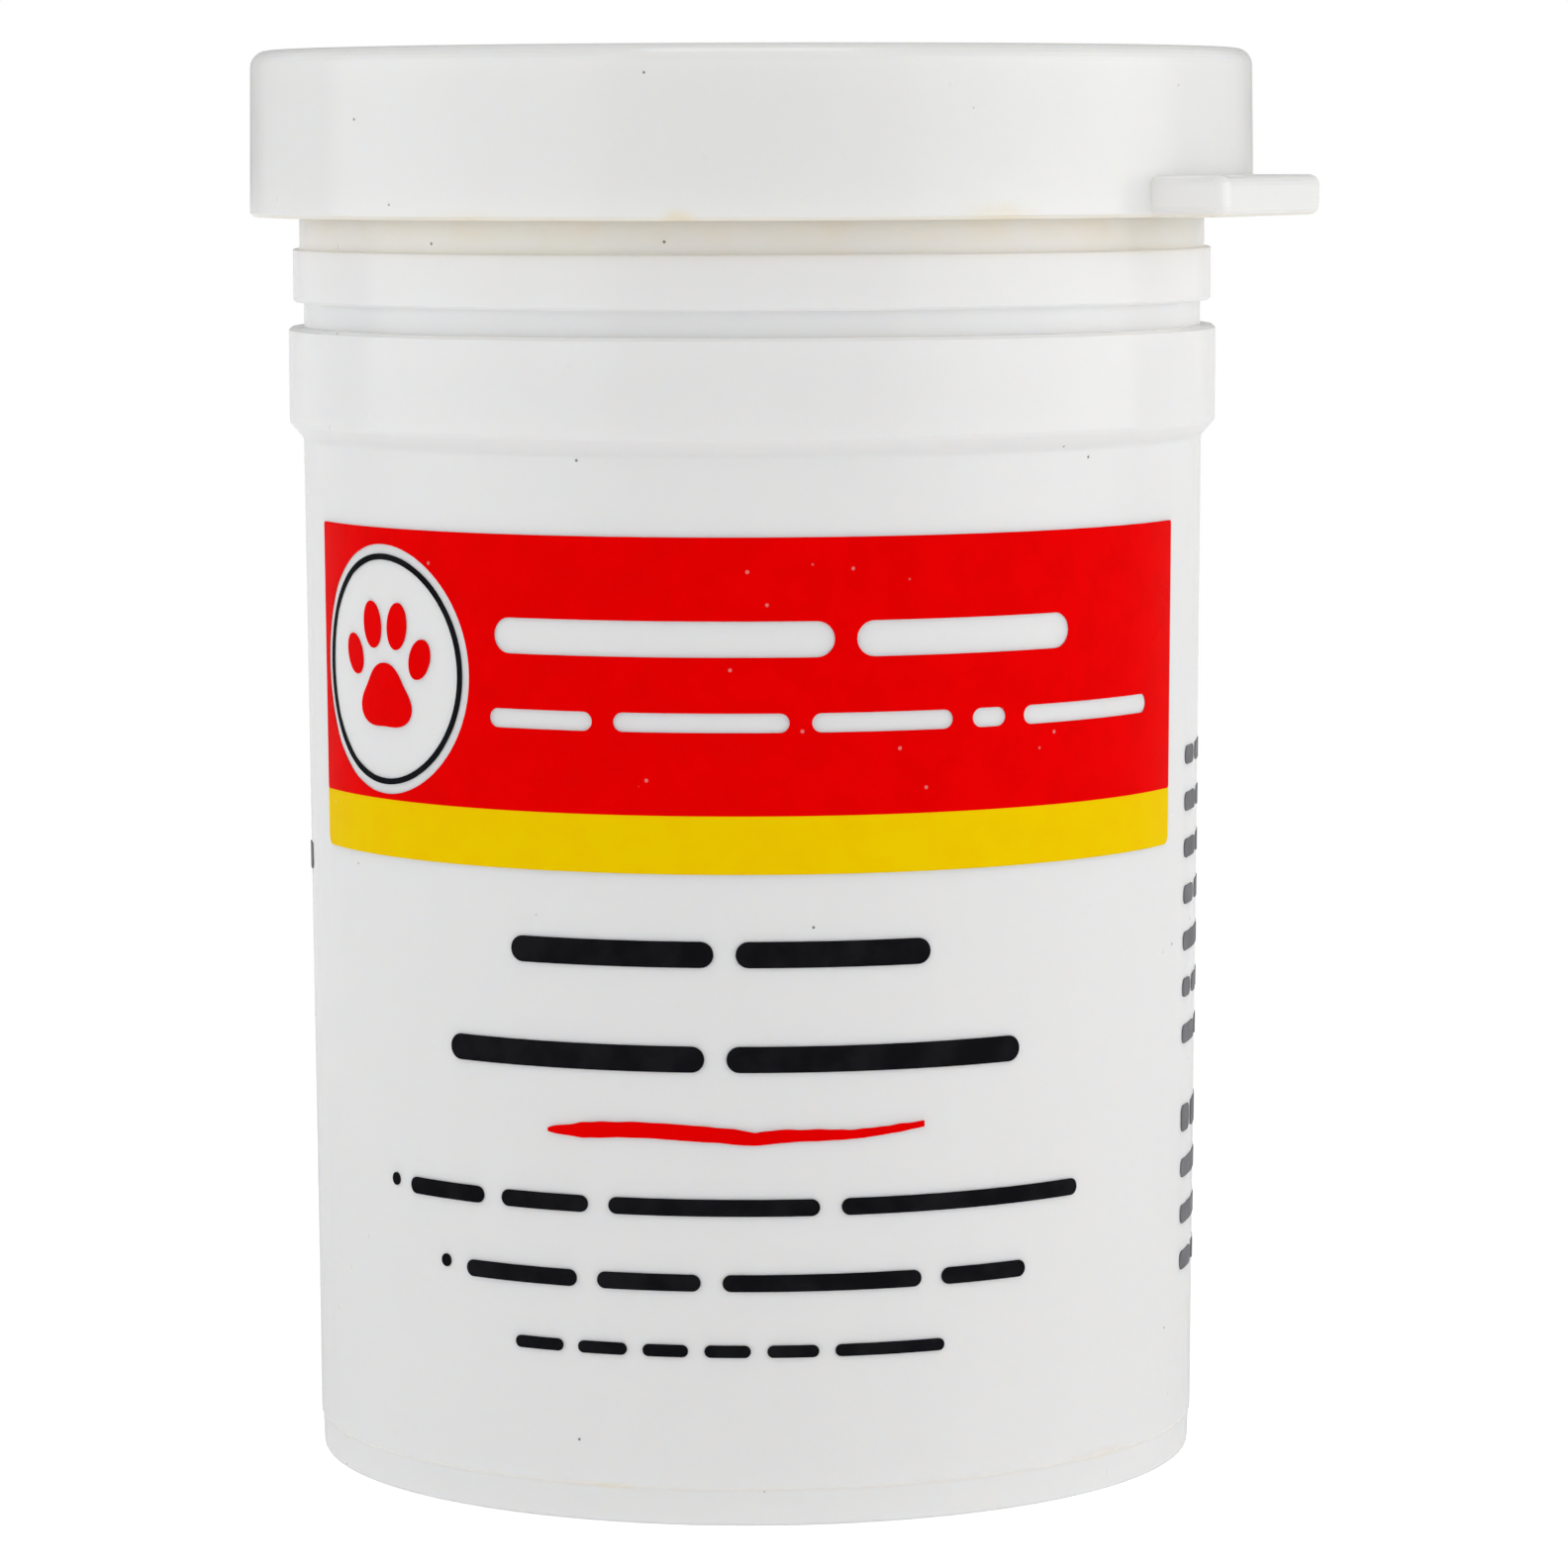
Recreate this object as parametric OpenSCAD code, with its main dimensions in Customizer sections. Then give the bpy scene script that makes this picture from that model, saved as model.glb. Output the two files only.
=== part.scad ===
// Small push-on powder container: a moulded pot with a printed wall, its snap-on
// lid with a thumb tab, and the bed of powder that it holds.
// Lengths are in millimetres. +Z is up, the origin is the centre of the foot on
// which the container stands, and the printed front faces -Y.

/* [Container] */
// Inside radius of the mouth, which the plug of the lid slides into
mouth_r = 16; // [14:0.1:22]
// Height of the container from its foot to its rim
body_h = 52.2; // [51:0.1:75]
// Thickness of the wall
wall_t = 1.2; // [1:0.05:1.4]
// Thickness of the floor above its recess
floor_t = 1.1; // [0.8:0.1:2.5]
// Taper of the wall, which lets it out of the mould
draft = 0.48; // [0.2:0.02:0.8]

/* [Rings round the neck] */
// How far the collar stands out from the neck
collar_proud = 0.43; // [0.3:0.01:0.6]
// How far the stacking bead stands out from the neck
bead_proud = 0.25; // [0.15:0.01:0.35]
// How far the lip at the rim stands out from the neck
lip_proud = 0.24; // [0.1:0.01:0.26]

/* [Lid] */
// Gap between the neck and the skirt of the lid
skirt_gap = 0.4; // [0.35:0.05:0.6]
// Thickness of the skirt
skirt_t = 1.45; // [1.2:0.05:1.8]
// Thickness of the top
top_t = 1.2; // [1:0.1:2]
// How far the skirt reaches down from the rim of the container
skirt_depth = 5.04; // [4.6:0.02:5.6]
// How deep the plug reaches into the mouth
plug_depth = 3; // [2:0.1:4]
// Radial running clearance between the lid and the container
clearance = 0.05; // [0.02:0.01:0.1]

/* [Thumb tab] */
// Direction of the tab, turned from +X towards the front
tab_angle = 25; // [0:1:60]
// Width of the tab
tab_w = 10.2; // [6:0.1:16]
// How far the tab stands out from the skirt
tab_reach = 2.2; // [1.5:0.1:5]
// Thickness of the tab
tab_t = 1.5; // [1.2:0.1:2]

/* [Powder] */
// Height of the powder above the floor
powder_h = 26.5; // [5:0.5:34]
// How far the powder is heaped at its middle
powder_heap = 1.4; // [0.2:0.1:3]

/* [Print] */
// Thickness of the printed ink
ink_t = 0.05; // [0.04:0.01:0.1]
// Left end of the coloured panel, as an angle from the front
panel_left = -69; // [-80:1:-60]
// Right end of the coloured panel, as an angle from the front
panel_right = 65.6; // [60:0.2:80]

/* [Hidden] */
$fn = 180;
white_plastic = [0.95, 0.95, 0.94];
lid_white = [0.93, 0.93, 0.91];
powder_yellow = [0.86, 0.75, 0.5];
red = [0.87, 0.03, 0.03];
yellow = [0.98, 0.8, 0.02];
black = [0.08, 0.08, 0.09];

// Levels of the container
recess_h = 0.4;
floor_z = recess_h + floor_t;
foot_h = 1.35;
lip_h = 1.6;
bead_top = body_h - 6.25;
bead_bottom = body_h - 8.25;
collar_top = body_h - 9.2;
wall_top = body_h - 13.5;
cavity_top = body_h - 5;

// Radii of the container
neck_r = mouth_r + wall_t;
groove_r = neck_r - 0.15;
shoulder_r = neck_r - 0.1;
lip_r = neck_r + lip_proud;
bead_r = neck_r + bead_proud;
collar_r = neck_r + collar_proud;
collar_round = 0.3;
collar_slope = 48;
foot_step = 0.06;
foot_taper = 0.04;
foot_round = 0.2;
land_w = 2;
gate_r = 0.6;

// Levels and radii of the lid
skirt_bottom = body_h - skirt_depth;
lid_top = body_h + top_t;
lid_r = neck_r + skirt_gap + skirt_t;
skirt_in_r = neck_r + skirt_gap;
snap_r = lip_r + clearance;
snap_z = body_h - lip_h - 0.55;
plug_r = mouth_r - clearance;
plug_t = 0.9;
lid_round = 0.65;
lid_taper = 0.06;
dimple_r = 2.2;
dimple_h = 0.25;

// Rows of the print, from the top down. Each row has the height of its middle, the height
// of its bars, the angle of its first bar, the gap between bars, and the bars' lengths.
white_rows = [
    [32.25, 1.3, -33, 0.8, [12.8, 8.8]],
    [29.25, 0.7, -33.8, 0.8, [4.2, 6.4, 5.3, 1.4, 6.9]]
];
black_rows = [
    [20.9, 0.95, -31, 0.8, [7.8, 7.2]],
    [17.1, 0.95, -40.6, 0.8, [10.3, 11.3]],
    [11.7, 0.62, -48.4, 0.8, [3.8, 3.6, 7.8, 10]],
    [8.95, 0.62, -38.5, 0.8, [4.8, 3.9, 7.4, 3.6]],
    [6.45, 0.45, -31, 0.6, [2, 1.9, 1.7, 1.7, 1.9, 4.2]]
];
bullet_spots = [[-51.5, 11.8], [-42, 9.1]];
bullet_r = 0.24;

// The small print round the sides: an upper block of lines, a heading with lines under it,
// and a short mark at the left
line_pitch = 1.77;
line_h = 0.7;
heading_h = 1;
heading_z = 13.05;
line_heights = concat([for (i = [0:6]) 26.9 - i * line_pitch], [for (i = [0:2]) 11.15 - i * line_pitch]);
block_spans = [[73, 163], [-163, -88]];
mark_span = [-86, -82.5];
mark_z = 22.93;

panel_bottom = 23.8;
panel_split = 25.9;
panel_top = 35.9;
badge_angle = -52.4;
badge_z = 30.7;
badge_r = 4.6;
badge_line = 0.22;
stroke_left = -25.5;
stroke_right = 21;
stroke_z = 14.4;
stroke_h = 0.5;

// Outside radius of the tapered wall at a height
function wall_r(z) = shoulder_r - (wall_top - z) * tan(draft);

// Inside radius of the cavity at a height
function cavity_r(z) = mouth_r - (cavity_top - z) * tan(draft) * 0.9;

// Angle that an arc length takes up on the wall
function arc_angle(length, z) = length / wall_r(z) * 180 / PI;

// Points along an arc round a centre
function arc(centre, r, from, to, steps = 6) = [
    for (i = [0:steps])
        let (a = from + (to - from) * i / steps)
            centre + r * [cos(a), sin(a)]
];

// Where the first bars of a row end, counted in arc length from the row's start
function run_length(lengths, gap, count) =
    count == 0 ? 0 : lengths[count - 1] + gap + run_length(lengths, gap, count - 1);

// The pot: foot, tapered wall, flare up to the collar, bead, neck and lip, in one moulding
module container_body() {
    foot_top_r = wall_r(foot_h) - foot_step;
    foot_r = foot_top_r - foot_taper;
    land_in_r = foot_r - land_w;
    underside = [
        [0, recess_h / 2], [gate_r, recess_h / 2], [gate_r + 0.1, recess_h],
        [land_in_r - 0.2, recess_h], [land_in_r, 0]
    ];
    foot = concat(
        arc([foot_r - foot_round, foot_round], foot_round, -90, 0),
        [[foot_top_r, foot_h - 0.1], [foot_top_r, foot_h], [wall_r(foot_h), foot_h + 0.08]]
    );
    turn = 90 - collar_slope;
    flare_w = collar_r - shoulder_r - 2 * collar_round * (1 - cos(turn));
    flare_top = wall_top + 2 * collar_round * sin(turn) + flare_w * tan(collar_slope);
    flare = concat(
        arc([shoulder_r + collar_round, wall_top], collar_round, 180, 180 - turn, 4),
        arc([collar_r - collar_round, flare_top], collar_round, -turn, 0, 4)
    );
    rings = [
        [collar_r, collar_top - 0.12], [collar_r - 0.12, collar_top],
        [groove_r, collar_top], [groove_r, bead_bottom],
        [bead_r - 0.08, bead_bottom], [bead_r, bead_bottom + 0.1],
        [bead_r, bead_top - 0.05], [bead_r - 0.05, bead_top]
    ];
    lip = [
        [neck_r, bead_top], [neck_r, body_h - lip_h - 0.25], [lip_r, body_h - lip_h],
        [lip_r, body_h - 0.5], [lip_r - 0.25, body_h - 0.1], [lip_r - 0.4, body_h]
    ];
    inside = concat(
        [[mouth_r + 0.25, body_h], [mouth_r, body_h - 0.4], [mouth_r, cavity_top]],
        arc([cavity_r(floor_z) - 1, floor_z + 1], 1, 0, -90),
        [[0, floor_z]]
    );
    color(white_plastic)
        rotate_extrude()
            polygon(concat(underside, foot, flare, rings, lip, inside));
}

// The thumb tab, a flat bar with rounded corners and edges that starts inside the skirt
module tab() {
    corner_r = 0.6;
    edge_r = 0.38;
    root_r = lid_r - 2.9;
    tip_r = lid_r + tab_reach;
    module pebble() {
        rotate_extrude($fn = 32)
            polygon(concat(
                [[0, 0]],
                arc([corner_r - edge_r, edge_r], edge_r, -90, 0, 4),
                arc([corner_r - edge_r, tab_t - edge_r], edge_r, 0, 90, 4),
                [[0, tab_t]]
            ));
    }
    rotate([0, 0, -tab_angle])
        translate([0, 0, skirt_bottom])
            hull()
                for (x = [root_r, tip_r - corner_r], side = [-1, 1])
                    translate([x, side * (tab_w / 2 - corner_r), 0])
                        pebble();
}

// The lid: top, skirt with its snap ring, plug and thumb tab, in one moulding
module lid() {
    top = concat(
        [[0, lid_top - dimple_h + 0.12], [0.5, lid_top - dimple_h + 0.12], [0.6, lid_top - dimple_h],
         [dimple_r - 0.2, lid_top - dimple_h], [dimple_r, lid_top]],
        arc([lid_r - lid_taper - lid_round, lid_top - lid_round], lid_round, 90, 0)
    );
    skirt = [
        [lid_r, skirt_bottom + 0.15], [lid_r - 0.15, skirt_bottom],
        [skirt_in_r + 0.2, skirt_bottom], [skirt_in_r, skirt_bottom + 0.3],
        [skirt_in_r, snap_z - 0.6], [snap_r, snap_z - 0.2], [snap_r, snap_z],
        [skirt_in_r, snap_z + 0.2], [skirt_in_r, body_h]
    ];
    plug = [
        [plug_r, body_h], [plug_r, body_h - plug_depth + 0.8], [plug_r - 0.4, body_h - plug_depth],
        [plug_r - plug_t + 0.15, body_h - plug_depth], [plug_r - plug_t, body_h - plug_depth + 0.15],
        [plug_r - plug_t, body_h], [0, body_h]
    ];
    color(lid_white) {
        rotate_extrude()
            polygon(concat(top, skirt, plug));
        difference() {
            tab();
            cylinder(r = skirt_in_r + skirt_t / 2, h = lid_top * 2);
        }
    }
}

// The bed of powder, lying on the floor and heaped a little at its middle
module powder_fill() {
    rest_gap = 0.04;
    top_z = floor_z + powder_h;
    slope_r = cavity_r(top_z) - rest_gap;
    color(powder_yellow)
        rotate_extrude()
            polygon(concat(
                [[0, floor_z]],
                arc([cavity_r(floor_z) - 1, floor_z + 1], 1 - rest_gap, -90, 0),
                [[slope_r, top_z], [slope_r * 0.55, top_z + powder_heap * 0.7],
                 [0, top_z + powder_heap]]
            ));
}

// A film of ink on the wall, between two angles from the front and two heights
module film(left, right, bottom, top, t = ink_t) {
    rotate_extrude(angle = right - left, start = left - 90)
        polygon([
            [wall_r(bottom), bottom], [wall_r(bottom) + t, bottom],
            [wall_r(top) + t, top], [wall_r(top), top]
        ]);
}

// A row of bars
module bar_row(row, t = ink_t) {
    z = row[0];
    half_h = row[1] / 2;
    gap = row[3];
    lengths = row[4];
    for (i = [0:len(lengths) - 1]) {
        left = row[2] + arc_angle(run_length(lengths, gap, i), z);
        film(left, left + arc_angle(lengths[i], z), z - half_h, z + half_h, t);
    }
}

// A rod that points straight out of the wall at an angle and a height
module rod(angle, z, r) {
    rotate([0, 0, angle])
        translate([0, 0, z])
            rotate([90, 0, 0])
                cylinder(r = r, h = neck_r + 5);
}

// The paw print in the badge: one pad and four toes
module paw_rods() {
    pad = [0, -0.75, 1.05];
    toes = [[-1.65, 0.35, 0.52], [-0.62, 1.35, 0.58], [0.62, 1.35, 0.58], [1.65, 0.35, 0.52]];
    for (p = concat([pad], toes))
        rod(badge_angle + arc_angle(p[0], badge_z), badge_z + p[1], p[2]);
}

// The red ink: the panel with its bars and badge left clear, the paw and the stroke
module red_ink() {
    color(red) {
        difference() {
            film(panel_left, panel_right, panel_split, panel_top);
            for (row = white_rows)
                bar_row(row, 1);
            rod(badge_angle, badge_z, badge_r);
        }
        intersection() {
            film(badge_angle - 15, badge_angle + 15, badge_z - badge_r, badge_z + badge_r);
            paw_rods();
        }
        film(stroke_left, stroke_right, stroke_z - stroke_h / 2, stroke_z + stroke_h / 2);
    }
}

// The yellow ink: the band under the red panel
module yellow_ink() {
    color(yellow)
        film(panel_left, panel_right, panel_bottom, panel_split);
}

// The black ink: the rows of bars, the bullets, the small print and the badge's line
module black_ink() {
    color(black) {
        for (row = black_rows)
            bar_row(row);
        for (p = bullet_spots)
            intersection() {
                film(p[0] - 2, p[0] + 2, p[1] - 1, p[1] + 1);
                rod(p[0], p[1], bullet_r);
            }
        for (span = block_spans) {
            small_line(span, heading_z, heading_h);
            for (z = line_heights)
                small_line(span, z, line_h);
        }
        small_line(mark_span, mark_z, heading_h);
        intersection() {
            film(badge_angle - 20, badge_angle + 20, badge_z - 6, badge_z + 6);
            difference() {
                rod(badge_angle, badge_z, badge_r - 0.35);
                rod(badge_angle, badge_z, badge_r - 0.35 - badge_line);
            }
        }
    }
}

// One line of small print
module small_line(span, z, h) {
    film(span[0], span[1], z - h / 2, z + h / 2);
}

container_body();
lid();
powder_fill();
red_ink();
yellow_ink();
black_ink();
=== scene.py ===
import math
import random

import bmesh
import bpy
from mathutils import Matrix, Vector, noise
from mathutils.geometry import tessellate_polygon


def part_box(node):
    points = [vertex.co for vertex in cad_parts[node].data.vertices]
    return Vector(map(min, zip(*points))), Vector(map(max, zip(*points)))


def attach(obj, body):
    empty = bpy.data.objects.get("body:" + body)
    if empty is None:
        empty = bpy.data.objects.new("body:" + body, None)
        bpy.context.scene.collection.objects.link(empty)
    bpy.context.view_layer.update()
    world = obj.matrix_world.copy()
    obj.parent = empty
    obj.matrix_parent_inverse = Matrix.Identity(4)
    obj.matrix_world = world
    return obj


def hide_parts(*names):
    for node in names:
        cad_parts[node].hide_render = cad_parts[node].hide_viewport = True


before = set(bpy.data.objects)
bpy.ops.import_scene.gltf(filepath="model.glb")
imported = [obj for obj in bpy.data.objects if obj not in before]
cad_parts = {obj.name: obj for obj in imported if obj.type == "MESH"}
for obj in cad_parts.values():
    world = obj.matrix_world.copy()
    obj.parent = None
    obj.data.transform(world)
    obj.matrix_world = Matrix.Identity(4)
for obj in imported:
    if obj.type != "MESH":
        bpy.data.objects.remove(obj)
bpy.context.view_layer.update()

# A small push-on powder container: a white moulded pot with a print on its wall,
# a snap lid with a thumb tab, and the powder inside. Lengths are in metres.

MM = 0.001

# ---------------------------------------------------------------- sizes of the frame

_, body_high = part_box("container_body")
lid_low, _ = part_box("lid")
powder_low, powder_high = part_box("powder_fill")
_, panel_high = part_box("red_ink")
band_low, band_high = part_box("yellow_ink")

# Levels and radii of the pot and the lid. WALL is the printed wall, under the collar.
RIM_Z = body_high.z
SKIRT_Z = lid_low.z
LID_R = -lid_low.x
COLLAR_R = body_high.x
MOUTH_R = COLLAR_R - 1.63 * MM
WALL_TOP_R = COLLAR_R - 0.53 * MM
WALL_TOP_Z = RIM_Z - 13.5 * MM
DRAFT = math.radians(0.48)
FOOT_LINE_Z = 1.38 * MM

# The ink stands this far out of the wall, and goes this far into it
INK_UP = 0.03 * MM
INK_DOWN = 0.02 * MM

# The print is drawn flat, as it lies unrolled from this radius, and bent in strips this wide
PRINT_R = 17 * MM
SLICE = 0.3 * MM


def wall_r(z):
    """Outside radius of the printed wall at a height."""
    return WALL_TOP_R - (WALL_TOP_Z - z) * math.tan(DRAFT)


def on_round(degrees, r, z):
    """The point at an angle from the front, positive to the right, on a radius."""
    turn = math.radians(degrees)
    return Vector((r * math.sin(turn), -r * math.cos(turn), z))


def arc_length(degrees):
    """Arc in the print's plane from the front line to an angle."""
    return math.radians(degrees) * PRINT_R


def place_on_wall(along, z, up):
    """A point of the print: along is the arc from the front line, up is out of the wall."""
    return on_round(math.degrees(along / PRINT_R), wall_r(z) + up, z)


# ---------------------------------------------------------------- camera and light

def look(position, pitch, roll, lens):
    """A camera that looks along +Y, pitched down."""
    camera = bpy.data.objects.new("camera", bpy.data.cameras.new("camera"))
    camera.data.lens = lens
    camera.data.sensor_width = 36
    camera.data.clip_start = 0.01
    camera.data.clip_end = 20
    pitched = Matrix.Rotation(math.radians(90 - pitch), 4, "X")
    rolled = Matrix.Rotation(math.radians(roll), 4, "Z")
    camera.matrix_world = Matrix.Translation(position) @ pitched @ rolled
    bpy.context.scene.collection.objects.link(camera)
    bpy.context.scene.camera = camera


def softbox(name, span, height, distance, tall, radiance, colour):
    """A tall area light that faces the container. span is the pair of azimuths that it
    covers; azimuth 0 is behind the camera and 90 to its right."""
    place = on_round(sum(span) / 2, distance, height)
    light = bpy.data.lights.new(name, "AREA")
    light.shape = "RECTANGLE"
    light.size = 2 * distance * math.tan(math.radians(span[1] - span[0]) / 2)
    light.size_y = tall
    light.energy = radiance * math.pi * light.size * light.size_y
    light.color = colour
    lamp = bpy.data.objects.new(name, light)
    lamp.visible_camera = False
    aim = Vector((0, 0, RIM_Z / 2)) - place
    facing = aim.to_track_quat("-Z", "Y").to_matrix().to_4x4()
    lamp.matrix_world = Matrix.Translation(place) @ facing
    bpy.context.scene.collection.objects.link(lamp)


def room_light(front, back):
    """White all round to the eye. As light it goes smoothly from the front to the back, each
    given as the pair of its strengths at the horizon and overhead."""
    world = bpy.data.worlds.new("room")
    world.use_nodes = True
    tree = world.node_tree
    tree.nodes.clear()
    add, link = tree.nodes.new, tree.links.new

    def ramp(value, start, end, first, last):
        node = add("ShaderNodeMapRange")
        node.interpolation_type = "SMOOTHSTEP"
        for key, v in (("Value", value), ("From Min", start), ("From Max", end),
                       ("To Min", first), ("To Max", last)):
            if isinstance(v, bpy.types.NodeSocket):
                link(v, node.inputs[key])
            else:
                node.inputs[key].default_value = v
        return node.outputs[0]

    direction = add("ShaderNodeSeparateXYZ")
    link(add("ShaderNodeTexCoord").outputs["Generated"], direction.inputs[0])
    rise = direction.outputs["Z"]
    in_front = ramp(rise, 0.0, 0.9, *front)
    behind = ramp(rise, 0.0, 0.9, *back)
    level = ramp(direction.outputs["Y"], -0.7, 0.8, in_front, behind)
    lit = add("ShaderNodeBackground")
    link(level, lit.inputs["Strength"])
    seen = add("ShaderNodeBackground")
    for background in (lit, seen):
        background.inputs["Color"].default_value = (1, 1, 1, 1)
    choose = add("ShaderNodeMixShader")
    link(add("ShaderNodeLightPath").outputs["Is Camera Ray"], choose.inputs[0])
    link(lit.outputs[0], choose.inputs[1])
    link(seen.outputs[0], choose.inputs[2])
    link(choose.outputs[0], add("ShaderNodeOutputWorld").inputs[0])
    bpy.context.scene.world = world


WHITE = (1, 1, 1)
COOL = (0.94, 0.965, 0.98)
FAINTLY_COOL = (0.97, 0.985, 0.985)
BLUISH = (0.96, 0.98, 1)
WARM = (1, 0.998, 0.985)
FAINTLY_WARM = (1, 0.998, 0.99)

# Name, azimuths, height, distance, how tall, radiance and colour
SOFTBOXES = [
    ("left_key", (-95, -66), 0.2, 0.6, 0.42, 0.26, COOL),
    ("left_fill", (-110, -32), 0.2, 0.5, 0.42, 0.49, FAINTLY_COOL),
    ("left_low", (-110, -32), 0.11, 0.5, 0.22, 0.47, FAINTLY_COOL),
    ("left_back", (-150, -112), 0.2, 0.6, 0.42, 0.16, BLUISH),
    ("right_key", (54, 96), 0.2, 0.6, 0.42, 0.53, WARM),
    ("right_fill", (34, 110), 0.2, 0.5, 0.42, 0.57, WARM),
    ("right_low", (34, 110), 0.11, 0.5, 0.22, 0.49, WARM),
    ("right_back", (112, 150), 0.2, 0.6, 0.42, 0.15, FAINTLY_WARM),
    ("front_top", (-40, 40), 0.5, 0.42, 0.4, 0.42, WHITE),
    ("front_low", (-28, 28), 0.1, 0.6, 0.2, 0.1, WHITE),
    ("front_flat", (-34, 34), 0.07, 0.6, 0.14, 0.26, WHITE),
    ("overhead", (-60, 60), 0.8, 0.12, 0.3, 2.4, WHITE),
]

look(Vector((1.16 * MM, -245.3 * MM, SKIRT_Z + 2.71 * MM)), pitch=5.703, roll=-0.174, lens=147.3)
for box in SOFTBOXES:
    softbox(*box)
room_light(front=(0.35, 0.15), back=(0.46, 0.4))
bpy.context.scene.view_settings.view_transform = "Standard"


# ---------------------------------------------------------------- shader helpers

def linear(*srgb):
    """A colour given in 8-bit sRGB, as the shader wants it."""
    def one(v):
        v /= 255
        return v / 12.92 if v <= 0.04045 else ((v + 0.055) / 1.055) ** 2.4
    return tuple(one(v) for v in srgb) + (1.0,)


class Shader:
    """A material's node tree, with short names for what the materials here use."""

    def __init__(self, name):
        self.material = bpy.data.materials.new(name)
        self.material.use_nodes = True
        self.tree = self.material.node_tree
        self.surface = self.tree.nodes["Principled BSDF"]
        self.where = self.add("ShaderNodeTexCoord").outputs["Object"]

    def add(self, kind, **inputs):
        """A new node. An input is a socket to link, or a value."""
        node = self.tree.nodes.new(kind)
        for key, value in inputs.items():
            self.set(node, key.replace("_", " "), value)
        return node

    def set(self, node, key, value):
        socket = node.inputs[int(key)] if key.isdigit() else node.inputs[key]
        if isinstance(value, bpy.types.NodeSocket):
            self.tree.links.new(value, socket)
        else:
            socket.default_value = value

    def finish(self, **inputs):
        """Sets inputs of the surface and gives the material."""
        for key, value in inputs.items():
            self.set(self.surface, key.replace("_", " "), value)
        return self.material

    def calc(self, operation, a, b=0.0):
        node = self.add("ShaderNodeMath")
        node.operation = operation
        self.set(node, "0", a)
        self.set(node, "1", b)
        return node.outputs[0]

    def times(self, *values):
        made = values[0]
        for v in values[1:]:
            made = self.calc("MULTIPLY", made, v)
        return made

    def length(self, vector):
        node = self.add("ShaderNodeVectorMath", Vector=vector)
        node.operation = "LENGTH"
        return node.outputs["Value"]

    def between(self, value, low, high, to_low=0.0, to_high=1.0):
        """Value from low to high, turned smoothly to to_low to to_high and held outside."""
        node = self.add("ShaderNodeMapRange")
        node.interpolation_type = "SMOOTHSTEP"
        for key, v in (("Value", value), ("From Min", low), ("From Max", high),
                       ("To Min", to_low), ("To Max", to_high)):
            self.set(node, key, v)
        return node.outputs[0]

    def mix(self, amount, a, b):
        """Colour a, with amount of colour b over it."""
        node = self.add("ShaderNodeMix")
        node.data_type = "RGBA"
        self.set(node, "0", amount)
        self.set(node, "6", a)
        self.set(node, "7", b)
        return node.outputs[2]

    def noise(self, size, detail=2.0, roughness=0.5):
        """Cloudy noise around 0.5 whose features are about size wide."""
        made = self.add("ShaderNodeTexNoise", Vector=self.where, Scale=1 / size, Detail=detail,
                        Roughness=roughness)
        return made.outputs["Fac"]

    def specks(self, spacing, radius):
        """Small balls scattered in space, of which the surface shows the slices."""
        cells = self.add("ShaderNodeTexVoronoi", Vector=self.where, Scale=1 / spacing,
                         Randomness=1.0)
        edge = radius / spacing
        return self.between(cells.outputs["Distance"], edge * 0.5, edge, 1.0, 0.0)

    def height(self):
        return self.add("ShaderNodeSeparateXYZ", Vector=self.where).outputs["Z"]

    def from_axis(self):
        """Distance from the container's axis."""
        flat = self.add("ShaderNodeMapping", Vector=self.where, Scale=(1, 1, 0)).outputs[0]
        return self.length(flat)

    def ring(self, z, reach):
        """1 at a height, fading to 0 at reach above and below."""
        away = self.calc("ABSOLUTE", self.calc("SUBTRACT", self.height(), z))
        return self.between(away, 0.0, reach, 1.0, 0.0)

    def smudge(self, centre, wide, tall):
        """1 at a place, fading to 0 at wide from it, or at tall above and below."""
        shape = self.add("ShaderNodeMapping", Vector=self.where,
                         Location=(-centre.x / wide, -centre.y / wide, -centre.z / tall),
                         Scale=(1 / wide, 1 / wide, 1 / tall)).outputs[0]
        return self.between(self.length(shape), 0.0, 1.0, 1.0, 0.0)

    def bump(self, *layers):
        """Bumps laid over each other: (height from 0 to 1, depth in metres)."""
        normal = None
        for value, depth in layers:
            node = self.add("ShaderNodeBump", Height=value, Distance=depth)
            if normal:
                self.set(node, "Normal", normal)
            normal = node.outputs[0]
        return normal


# ---------------------------------------------------------------- materials

# Warm tint of the powder stains; round the neck under the lid it is also painted warm shade
POWDER_STAIN_AND_SHADE_TINT = linear(244, 214, 150)
POWDER_FILM = linear(226, 205, 150)
GRIT = linear(70, 56, 38)

# How deep light goes into the plastic: less under the print, where ink would drink it
DEPTH_UNDER_PRINT = 0.5 * MM
DEPTH_ABOVE = 0.95 * MM

# What the floor gives off by itself near the container and far off: as light, and to the eye
FLOOR_NEAR = (0.18, 0.56)
FLOOR_FAR = (0.82, 1.0)


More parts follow.
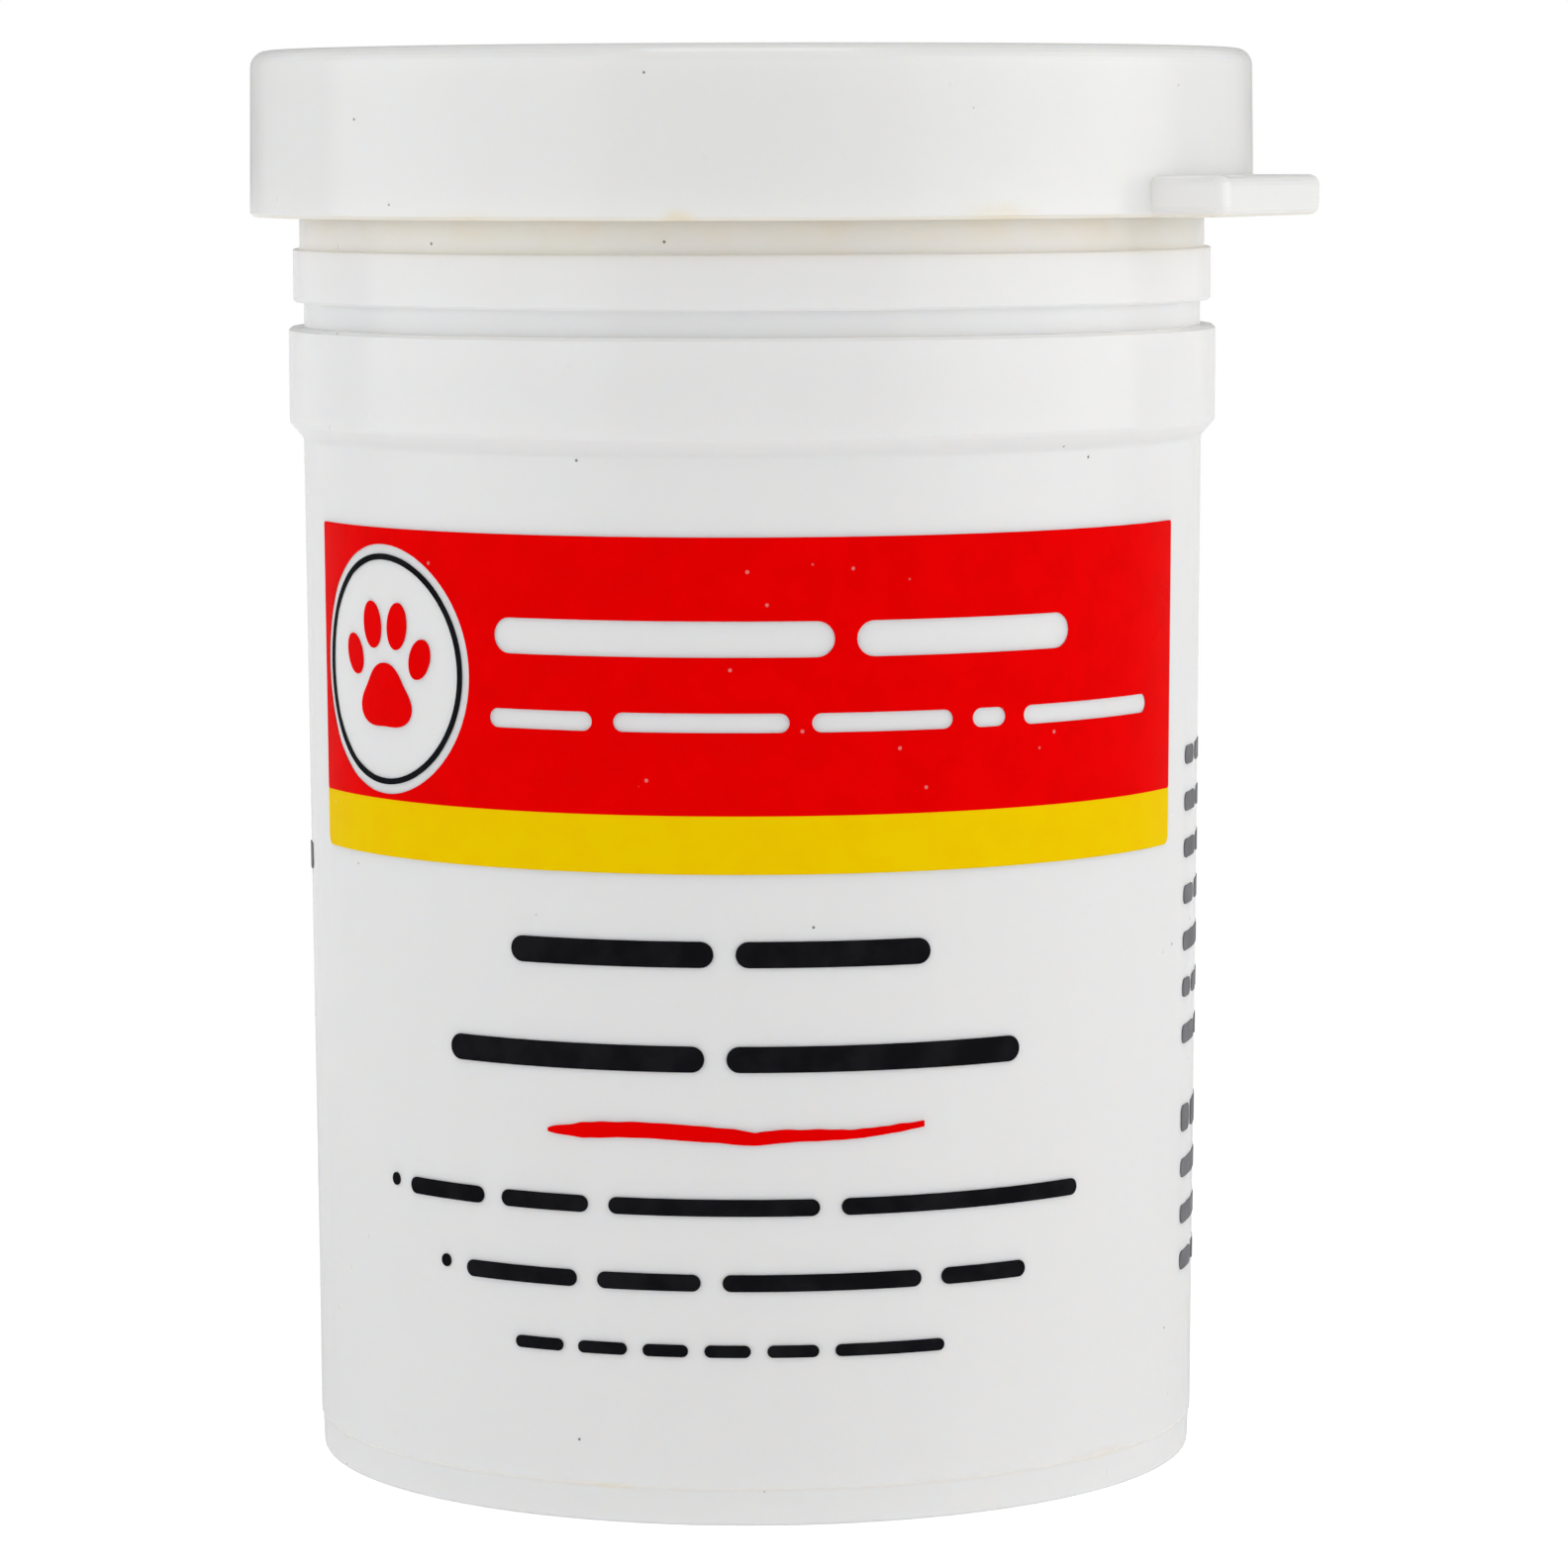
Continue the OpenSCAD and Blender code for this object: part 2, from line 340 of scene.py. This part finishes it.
def moulded_plastic(name, colour, shade, roughness, rings, smudges, dusty):
    """White moulded plastic that has been handled: slow tone changes, a faint orange peel,
    pimples and grit from the powder, and stains; a ring can also be painted warm shade. rings
    are (height, reach, strength) and smudges are (angle, radius, height, wide, tall, strength).
    dusty gives the share of powder film from the shader."""
    s = Shader(name)
    tone = s.mix(s.between(s.noise(11 * MM, 3), 0.35, 0.65), colour, shade)
    cloud = s.between(s.noise(2.6 * MM, 4, 0.6), 0.38, 0.7)
    # A ring is powder stain; the wide one round the neck under the lid is also painted warm shade
    for z, reach, strength in rings:
        patchy = s.calc("ADD", s.times(cloud, 0.35), 0.65)
        tone = s.mix(s.times(s.ring(z, reach), patchy, strength), tone, POWDER_STAIN_AND_SHADE_TINT)
    for angle, r, z, wide, tall, strength in smudges:
        spot = s.smudge(on_round(angle, r, z), wide, tall)
        patchy = s.calc("ADD", s.times(cloud, 0.5), 0.5)
        tone = s.mix(s.times(spot, patchy, strength), tone, POWDER_STAIN_AND_SHADE_TINT)
    tone = s.mix(dusty(s), tone, POWDER_FILM)
    grit = s.specks(2.3 * MM, 0.07 * MM)
    tone = s.mix(s.times(grit, 0.8), tone, GRIT)
    pimples = s.specks(1.9 * MM, 0.14 * MM)
    rough = s.between(s.noise(4 * MM, 4), 0.3, 0.7, roughness - 0.03, roughness + 0.03)
    normal = s.bump(
        (s.noise(3.2 * MM, 1), 0.004 * MM),
        (s.noise(0.4 * MM, 2), 0.0006 * MM),
        (pimples, 0.012 * MM),
        (grit, 0.02 * MM),
    )
    depth = s.between(s.height(), WALL_TOP_Z - 1 * MM, WALL_TOP_Z + 3 * MM,
                      DEPTH_UNDER_PRINT, DEPTH_ABOVE)
    return s.finish(Base_Color=tone, Roughness=rough, Normal=normal, IOR=1.5,
                    Subsurface_Weight=0.85, Subsurface_Radius=(1.0, 0.92, 0.82),
                    Subsurface_Scale=depth)


def film_in_the_pot(s):
    """Powder on the inside of the wall, thick over the powder and patchy up to the rim."""
    inside = s.between(s.from_axis(), MOUTH_R + 0.2 * MM, MOUTH_R + 0.45 * MM, 1.0, 0.0)
    fade = s.between(s.height(), powder_high.z - 2 * MM, RIM_Z, 0.75, 0.12)
    patchy = s.between(s.noise(1.6 * MM, 5, 0.65), 0.4, 0.62)
    return s.times(inside, fade, patchy)


def film_in_the_lid(s):
    """A little powder that has jumped up to the inside of the lid."""
    inside = s.between(s.from_axis(), MOUTH_R - 0.3 * MM, MOUTH_R + 0.1 * MM, 1.0, 0.0)
    under = s.between(s.height(), RIM_Z + 0.05 * MM, RIM_Z + 0.2 * MM, 1.0, 0.0)
    patchy = s.between(s.noise(1.1 * MM, 5, 0.7), 0.5, 0.68)
    return s.times(inside, under, patchy, 0.6)


def printed_ink(name, colour, deep, hole_spacing, bare):
    """Ink printed straight on the plastic: a little mottled, with pinholes where it skipped."""
    s = Shader(name)
    tone = s.mix(s.between(s.noise(1.4 * MM, 4), 0.35, 0.7), colour, deep)
    holes = s.specks(hole_spacing, 0.09 * MM)
    tone = s.mix(s.times(holes, 0.7), tone, bare)
    rough = s.between(s.noise(2.2 * MM, 3), 0.3, 0.7, 0.27, 0.36)
    normal = s.bump((s.noise(3.2 * MM, 1), 0.004 * MM), (s.noise(0.16 * MM, 2), 0.001 * MM),
                    (holes, -0.01 * MM))
    return s.finish(Base_Color=tone, Roughness=rough, Normal=normal, IOR=1.48,
                    Specular_IOR_Level=0.006)


def loose_powder(name):
    """Fine mineral powder with darker grains, softly caked."""
    s = Shader(name)
    drift = s.between(s.noise(2.4 * MM, 5), 0.3, 0.7)
    tone = s.mix(drift, linear(214, 186, 122), linear(232, 209, 150))
    dark_grains = s.between(s.noise(0.22 * MM, 2), 0.55, 0.7)
    tone = s.mix(s.times(dark_grains, 0.45), tone, linear(178, 146, 84))
    normal = s.bump((s.noise(0.9 * MM, 5, 0.7), 0.12 * MM), (s.noise(0.16 * MM, 3), 0.05 * MM))
    return s.finish(Base_Color=tone, Roughness=0.96, Normal=normal, Specular_IOR_Level=0.2)


def floor_paper(name):
    """Matt white studio paper, lit so that it meets the white room a little way off."""
    s = Shader(name)
    tone = s.mix(s.noise(60 * MM, 4), linear(238, 238, 238), linear(235, 235, 235))
    normal = s.bump((s.noise(0.8 * MM, 4), 0.03 * MM))
    seen = s.add("ShaderNodeLightPath").outputs["Is Camera Ray"]
    s.finish(Base_Color=tone, Roughness=0.9, Normal=normal, Specular_IOR_Level=0.2,
             Emission_Color=(1, 1, 1, 1), Emission_Strength=s.between(seen, 0.0, 1.0, *FLOOR_NEAR))
    far = s.between(s.length(s.where), 45 * MM, 150 * MM)
    glow = s.add("ShaderNodeEmission", Color=(1, 1, 1, 1),
                 Strength=s.between(seen, 0.0, 1.0, *FLOOR_FAR))
    both = s.add("ShaderNodeMixShader")
    s.set(both, "0", far)
    s.set(both, "1", s.surface.outputs[0])
    s.set(both, "2", glow.outputs[0])
    s.set(s.tree.nodes["Material Output"], "Surface", both.outputs[0])
    return s.material


# Rings and smudges of powder stain, as moulded_plastic takes them; the container's wide ring
# round the neck under the lid is also painted warm shade
CONTAINER_RINGS = [
    # Round the neck under the lid: powder stain and painted warm shade where the lid shades the neck
    (SKIRT_Z, 1.9 * MM, 0.34),
    (RIM_Z - 6.25 * MM, 0.3 * MM, 0.08),
    (FOOT_LINE_Z, 0.16 * MM, 0.12),
]
CONTAINER_SMUDGES = [
    (-19, wall_r(FOOT_LINE_Z), FOOT_LINE_Z, 2.0 * MM, 0.2 * MM, 0.25),
    (50, wall_r(FOOT_LINE_Z), FOOT_LINE_Z + 0.1 * MM, 2.6 * MM, 0.3 * MM, 0.2),
    (-24, wall_r(18 * MM), 13.5 * MM, 1.6 * MM, 2.6 * MM, 0.07),
]
LID_RINGS = [
    (SKIRT_Z, 0.22 * MM, 0.35),
]
LID_SMUDGES = [
    (-7.6, LID_R, SKIRT_Z + 0.1 * MM, 0.9 * MM, 0.5 * MM, 0.4),
    (27.4, LID_R, SKIRT_Z + 0.1 * MM, 2.4 * MM, 0.8 * MM, 0.3),
    (-32, LID_R, SKIRT_Z, 3.5 * MM, 0.6 * MM, 0.25),
]


def dress(node, material):
    """Gives a CAD node its finish."""
    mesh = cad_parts[node].data
    mesh.materials.clear()
    mesh.materials.append(material)


dress("container_body", moulded_plastic(
    "container_plastic", linear(249, 249, 249), linear(246, 246, 247), 0.17,
    CONTAINER_RINGS, CONTAINER_SMUDGES, film_in_the_pot))
dress("lid", moulded_plastic(
    "lid_plastic", linear(247, 247, 245), linear(244, 245, 243), 0.17,
    LID_RINGS, LID_SMUDGES, film_in_the_lid))


# ---------------------------------------------------------------- outlines of the print

def bar(left, right, low, high, corner, steps=6):
    """A bar with round corners."""
    corner = min(corner, (right - left) / 2, (high - low) / 2)
    centres = [(right - corner, high - corner, 0), (left + corner, high - corner, 90),
               (left + corner, low + corner, 180), (right - corner, low + corner, 270)]
    points = []
    for x, z, start in centres:
        for i in range(steps + 1):
            a = math.radians(start + 90 * i / steps)
            points.append((x + corner * math.cos(a), z + corner * math.sin(a)))
    return points


def word_bars(z, height, start, gap, lengths):
    """A row of bars with round ends, one for each word, from an angle on. Sizes in millimetres."""
    bars = []
    left = arc_length(start)
    for length in lengths:
        right = left + length * MM
        bars.append(bar(left, right, (z - height / 2) * MM, (z + height / 2) * MM, height * MM / 2))
        left = right + gap * MM
    return bars


def disc(x, z, rx, rz=None, turn=0.0, steps=48):
    """A disc or an ellipse, turned by an angle in degrees."""
    rz = rz or rx
    ct, st = math.cos(math.radians(turn)), math.sin(math.radians(turn))
    points = []
    for i in range(steps):
        a = math.tau * i / steps
        u, v = rx * math.cos(a), rz * math.sin(a)
        points.append((x + u * ct - v * st, z + u * st + v * ct))
    return points


def paw(x, z, size):
    """The outlines of a paw print: a three-lobed pad and four toes."""
    pad = []
    for i in range(72):
        a = math.tau * i / 72
        r = 1 + 0.13 * math.cos(3 * (a - math.pi / 2))
        pad.append((x + size * 1.32 * r * math.cos(a), z + size * (1.02 * r * math.sin(a) - 0.95)))
    toes = [(-1.8, 0.4, 0.47, 0.68, 24), (-0.68, 1.4, 0.5, 0.76, 8),
            (0.68, 1.4, 0.5, 0.76, -8), (1.8, 0.4, 0.47, 0.68, -24)]
    return [pad] + [disc(x + size * u, z + size * v, size * a, size * b, t) for u, v, a, b, t in toes]


def brush_stroke(left, right, z, thick):
    """A hand-drawn line: it swells quickly from a low left end, arches, dips just past the
    middle, then thins and turns up to a blunt right end."""
    steps = 90
    upper, lower = [], []
    for i in range(steps + 1):
        t = i / steps
        x = left + (right - left) * t
        arch = 0.16 * math.exp(-((t - 0.25) / 0.17) ** 2)
        dip = 0.1 * math.exp(-((t - 0.55) / 0.06) ** 2)
        lift = 0.27 * (max(0, t - 0.8) / 0.2) ** 1.3
        middle = z + MM * (arch - dip + lift - 0.1)
        swell = min(1, 0.22 + 0.78 * (t / 0.1) ** 0.8)
        taper = 1 - 0.62 * (max(0, t - 0.42) / 0.58) ** 1.2
        ragged = 0.04 * MM * noise.noise(Vector((t * 23, 0, 0)))
        notch = 0.05 * MM * math.exp(-((t - 0.555) / 0.012) ** 2)
        upper.append((x, middle + thick / 2 * swell * taper + ragged - notch))
        lower.append((x, middle - thick / 2 * swell * taper - 0.5 * ragged))
    return lower + upper[::-1]


# ---------------------------------------------------------------- the print

PANEL_LEFT, PANEL_RIGHT = arc_length(-69), arc_length(65.6)
BADGE_X, BADGE_Z, BADGE_R = arc_length(-52.4), 30.7 * MM, 4.6 * MM
BADGE_LINE_R, BADGE_LINE = BADGE_R - 0.35 * MM, 0.22 * MM

# Rows of word bars, as word_bars takes them
WHITE_ROWS = [
    (32.25, 1.3, -33, 0.8, [12.8, 8.8]),
    (29.25, 0.7, -33.8, 0.8, [4.2, 6.4, 5.3, 1.4, 6.9]),
]
BLACK_ROWS = [
    (20.9, 0.95, -31, 0.8, [7.8, 7.2]),
    (17.1, 0.95, -40.6, 0.8, [10.3, 11.3]),
    (11.7, 0.62, -48.4, 0.8, [3.8, 3.6, 7.8, 10]),
    (8.95, 0.62, -38.5, 0.8, [4.8, 3.9, 7.4, 3.6]),
    (6.45, 0.45, -31, 0.6, [2, 1.9, 1.7, 1.7, 1.9, 4.2]),
]

# Angle and height of each bullet
BULLETS = [(-51.5, 11.8), (-42, 9.1)]
BULLET_R = 0.24 * MM

# The small print: (height, bar height) of its rows, and the angles that its blocks span
LINE_PITCH, LINE_H, HEADING_H = 1.77, 0.7, 1.0
UPPER_LINES = [(26.9 - LINE_PITCH * i, LINE_H) for i in range(7)]
LOWER_LINES = [(11.15 - LINE_PITCH * i, LINE_H) for i in range(3)]
SMALL_PRINT_ROWS = UPPER_LINES + [(13.05, HEADING_H)] + LOWER_LINES
SMALL_PRINT_BLOCKS = [(73, 163), (-163, -91)]
SMALL_CORNER = 0.3 * MM
SMALL_GAP = 0.5 * MM
MARK_LEFT, MARK_RIGHT, MARK_Z = -86, -81.2, 22.93


def red_shapes():
    """The panel with its white words and badge left clear, the brush stroke, and the paw."""
    panel = bar(PANEL_LEFT, PANEL_RIGHT, band_high.z, panel_high.z, 0.12 * MM)
    cleared = [loop for row in WHITE_ROWS for loop in word_bars(*row)]
    cleared.append(disc(BADGE_X, BADGE_Z, BADGE_R, steps=96))
    stroke = brush_stroke(arc_length(-26.1), arc_length(21.5), 14.43 * MM, 0.57 * MM)
    return [[panel] + cleared, [stroke]] + [[loop] for loop in paw(BADGE_X, BADGE_Z, 1.15 * MM)]


def yellow_shapes():
    """The band, square where it meets the red and rounded at its lower corners."""
    tall = bar(PANEL_LEFT, PANEL_RIGHT, band_low.z, band_high.z + 1 * MM, 0.38 * MM)
    return [[[(x, min(z, band_high.z)) for x, z in tall]]]


def small_bar(left, right, z, height):
    """A bar of the small print between two arcs, round a height. z and height in millimetres."""
    return [bar(left, right, (z - height / 2) * MM, (z + height / 2) * MM, SMALL_CORNER, 4)]


def small_print_shapes(rng):
    """Two blocks of word bars round the sides and the back, and a short mark at the left."""
    shapes = []
    for left, right in SMALL_PRINT_BLOCKS:
        for z, height in SMALL_PRINT_ROWS:
            at = arc_length(left)
            end = arc_length(right) - rng.uniform(0, 2.5) * MM
            while at < end - 0.8 * MM:
                stop = min(at + rng.uniform(1.2, 4.4) * MM, end)
                shapes.append(small_bar(at, stop, z, height))
                at = stop + SMALL_GAP
    shapes.append(small_bar(arc_length(MARK_LEFT), arc_length(MARK_RIGHT), MARK_Z, HEADING_H))
    return shapes


def black_shapes():
    """The rows of word bars, the bullets and the badge's thin ring."""
    words = [[loop] for row in BLACK_ROWS for loop in word_bars(*row)]
    bullets = [[disc(arc_length(a), z * MM, BULLET_R, steps=24)] for a, z in BULLETS]
    ring_radii = (BADGE_LINE_R, BADGE_LINE_R - BADGE_LINE)
    ring = [disc(BADGE_X, BADGE_Z, r, steps=96) for r in ring_radii]
    return words + bullets + [ring]


def add_piece(name, made, material, body, node, crease):
    """Makes a piece of a bmesh, hangs it on the body that it rides on, and hides the CAD node that it
    stands in for.
    """
    mesh = bpy.data.meshes.new(name)
    made.to_mesh(mesh)
    made.free()
    mesh.materials.append(material)
    mesh.shade_smooth()
    mesh.set_sharp_from_angle(angle=math.radians(crease))
    piece = bpy.data.objects.new(name, mesh)
    bpy.context.scene.collection.objects.link(piece)
    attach(piece, body)
    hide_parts(node)


def bent_film(loops):
    """A film of ink, from [outline, hole, hole ...] in the print's plane: it is cut into
    narrow strips, thickened, and bent round the wall."""
    flat = [[Vector((x, z, 0)) for x, z in loop] for loop in loops]
    points = [p for loop in flat for p in loop]
    film = bmesh.new()
    verts = [film.verts.new(p) for p in points]
    for corners in tessellate_polygon(flat):
        film.faces.new([verts[i] for i in corners])
    first = math.floor(min(p.x for p in points) / SLICE) + 1
    last = math.ceil(max(p.x for p in points) / SLICE)
    for k in range(first, last):
        bmesh.ops.bisect_plane(film, geom=film.verts[:] + film.edges[:] + film.faces[:],
                               plane_co=(k * SLICE, 0, 0), plane_no=(1, 0, 0), dist=1e-7)
    made = bmesh.ops.extrude_face_region(film, geom=film.faces[:], use_keep_orig=True)["geom"]
    raised = {v for v in made if isinstance(v, bmesh.types.BMVert)}
    for v in film.verts:
        v.co.z = INK_UP if v in raised else -INK_DOWN
    bmesh.ops.recalc_face_normals(film, faces=film.faces[:])
    for v in film.verts:
        v.co = place_on_wall(v.co.x, v.co.y, v.co.z)
    return film


def print_piece(name, shapes, material, slot):
    """All the films of one ink, as one piece."""
    whole = bmesh.new()
    for loops in shapes:
        film = bent_film(loops)
        part = bpy.data.meshes.new("part")
        film.to_mesh(part)
        film.free()
        whole.from_mesh(part)
        bpy.data.meshes.remove(part)
    add_piece(name, whole, material, "container", slot, 30)


# Each ink: name, colour, deeper tone, the spacing of its pinholes and the colour in them
RED = printed_ink(
    "red_ink", linear(250, 0, 1), linear(243, 0, 1), 1.5 * MM, linear(236, 150, 146))
YELLOW = printed_ink(
    "yellow_ink", linear(255, 215, 0), linear(255, 210, 0), 2.6 * MM, linear(252, 236, 150))
BLACK = printed_ink(
    "black_ink", linear(20, 20, 23), linear(30, 30, 33), 3 * MM, linear(90, 90, 92))
GREY = printed_ink(
    "grey_ink", linear(112, 112, 115), linear(126, 126, 129), 3 * MM, linear(170, 170, 172))

print_piece("red_print", red_shapes(), RED, "red_ink")
print_piece("yellow_print", yellow_shapes(), YELLOW, "yellow_ink")
print_piece("black_print", black_shapes(), BLACK, "black_ink")
print_piece("small_print", small_print_shapes(random.Random(4)), GREY, "black_ink")


# ---------------------------------------------------------------- the powder

SCOOP_X, SCOOP_Y = 5.2 * MM, -3.4 * MM
SCOOP_R = 5.5 * MM
SCOOP_DEPTH = 1.9 * MM


def powder_surface(x, y):
    """Height of the powder at a place: a low heap, caked lumps, and a hollow left by a scoop
    with a low bank round it."""
    r = math.hypot(x, y) / powder_high.x
    heap = -0.35 * MM - 1.1 * MM * r * r
    lumps = 0.35 * MM * noise.fractal(Vector((x, y, 0.3 * MM)) / (3.4 * MM), 0.8, 2.1, 4)
    away = math.hypot(x - SCOOP_X, (y - SCOOP_Y) * 0.8) / SCOOP_R
    scooped = -SCOOP_DEPTH * math.exp(-away ** 3.2)
    bank = 0.45 * MM * math.exp(-((away - 1.12) / 0.18) ** 2)
    return min(powder_high.z + heap + lumps + scooped + bank, powder_high.z)


def powder_bed(rings=56, sectors=128):
    """The powder as one closed lump: its surface, its side and its underside."""
    bed = bmesh.new()
    turns = [math.tau * k / sectors for k in range(sectors)]
    edge = powder_high.x
    radii = [edge * (i + 0.5) / (rings + 0.5) for i in range(rings + 1)]
    loops = [[(r * math.cos(a), r * math.sin(a)) for a in turns] for r in radii]
    grid = [[bed.verts.new((x, y, powder_surface(x, y))) for x, y in loop] for loop in loops]
    side = (edge - 0.02 * MM, powder_low.z + 1 * MM)
    underside = (edge - 0.9 * MM, powder_low.z)
    for r, z in (side, underside):
        grid.append([bed.verts.new((r * math.cos(a), r * math.sin(a), z)) for a in turns])
    for inner, outer in zip(grid, grid[1:]):
        for k in range(sectors):
            n = (k + 1) % sectors
            bed.faces.new((inner[k], outer[k], outer[n], inner[n]))
    bed.faces.new(grid[0])
    bed.faces.new(grid[-1][::-1])
    bmesh.ops.recalc_face_normals(bed, faces=bed.faces[:])
    add_piece("powder_bed", bed, loose_powder("powder"), "container", "powder_fill", 50)


powder_bed()


# ---------------------------------------------------------------- the floor

def studio_floor(half=6.0):
    """A square of floor at the container's foot, half as wide as given either way."""
    floor = bpy.data.meshes.new("floor")
    corners = [(-half, -half, 0), (half, -half, 0), (half, half, 0), (-half, half, 0)]
    floor.from_pydata(corners, [], [(0, 1, 2, 3)])
    floor.materials.append(floor_paper("floor_paper"))
    piece = bpy.data.objects.new("floor", floor)
    bpy.context.scene.collection.objects.link(piece)


studio_floor()
